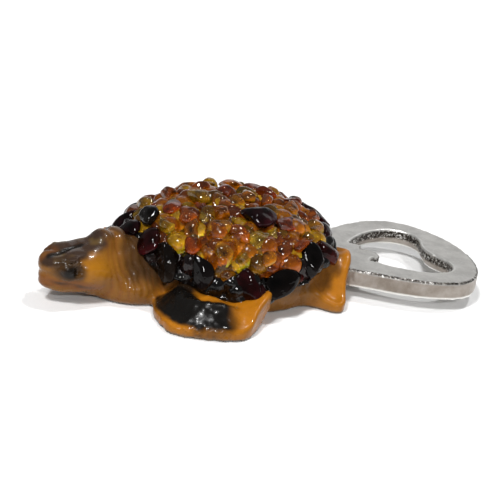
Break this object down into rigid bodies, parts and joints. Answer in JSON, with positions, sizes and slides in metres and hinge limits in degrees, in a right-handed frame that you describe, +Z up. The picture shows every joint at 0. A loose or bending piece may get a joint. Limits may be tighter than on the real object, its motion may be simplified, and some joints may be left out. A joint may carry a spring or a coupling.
{
  "type": "souvenir bottle opener",
  "caption": "Flat-backed cast resin sea turtle with a shell of amber chips in clear epoxy and a nickel-plated bottle opener plate set in its tail.",
  "frame": {"origin": "on the flat back, under the middle of the overall length and width", "axes": "+X runs from the beak to the opener's nose, +Y is the turtle's right, +Z is up out of the flat back through the shell"},
  "size_m": [0.1069, 0.0638, 0.0219],
  "materials": {
    "resin": "painted ochre polyresin with dark brown and black washes under a wet-looking lacquer",
    "nickel": "satin nickel plate on a die-cast plate, with brighter worn edges",
    "epoxy": "clear glossy epoxy, tinted by fine amber grit",
    "ferrite": "unplated sintered ferrite, matt dark grey",
    "honey_amber": "tumbled and polished honey amber, transparent, with inclusions",
    "cognac_amber": "tumbled and polished cognac amber, transparent",
    "lemon_amber": "tumbled and polished lemon amber, transparent",
    "cherry_amber": "tumbled and polished dark cherry amber, nearly opaque",
    "black_amber": "tumbled and polished black amber, opaque"
  },
  "bodies": {
    "root": {"resin_casting": "resin", "opener_plate": "nickel", "epoxy_bed": "epoxy", "front_magnet": "ferrite", "rear_magnet": "ferrite", "rim_chip_01": "cherry_amber", "rim_chip_02": "cherry_amber", "rim_chip_03": "cherry_amber", "rim_chip_04": "black_amber", "rim_chip_05": "cherry_amber", "rim_chip_06": "black_amber", "rim_chip_07": "black_amber", "rim_chip_08": "black_amber", "rim_chip_09": "cherry_amber", "rim_chip_10": "cherry_amber", "rim_chip_11": "cherry_amber", "rim_chip_12": "black_amber", "rim_chip_13": "black_amber", "rim_chip_14": "cherry_amber", "rim_chip_15": "black_amber", "rim_chip_16": "black_amber", "rim_chip_17": "cherry_amber", "rim_chip_18": "cherry_amber", "side_chip_01": "cognac_amber", "side_chip_02": "honey_amber", "side_chip_03": "honey_amber", "side_chip_04": "lemon_amber", "side_chip_05": "honey_amber", "side_chip_06": "cognac_amber", "side_chip_07": "lemon_amber", "side_chip_08": "black_amber", "side_chip_09": "lemon_amber", "side_chip_10": "cognac_amber", "side_chip_11": "honey_amber", "side_chip_12": "honey_amber", "side_chip_13": "cognac_amber", "side_chip_14": "honey_amber", "side_chip_15": "cognac_amber", "shoulder_chip_01": "cognac_amber", "shoulder_chip_02": "honey_amber", "shoulder_chip_03": "cognac_amber", "shoulder_chip_04": "lemon_amber", "shoulder_chip_05": "honey_amber", "shoulder_chip_06": "honey_amber", "shoulder_chip_07": "cognac_amber", "shoulder_chip_08": "honey_amber", "shoulder_chip_09": "honey_amber", "shoulder_chip_10": "lemon_amber", "shoulder_chip_11": "cognac_amber", "shoulder_chip_12": "honey_amber", "upper_chip_01": "cognac_amber", "upper_chip_02": "honey_amber", "upper_chip_03": "honey_amber", "upper_chip_04": "lemon_amber", "upper_chip_05": "honey_amber", "upper_chip_06": "cherry_amber", "upper_chip_07": "honey_amber", "top_chip_01": "honey_amber", "top_chip_02": "cognac_amber", "top_chip_03": "honey_amber"}
  },
  "joints": []
}
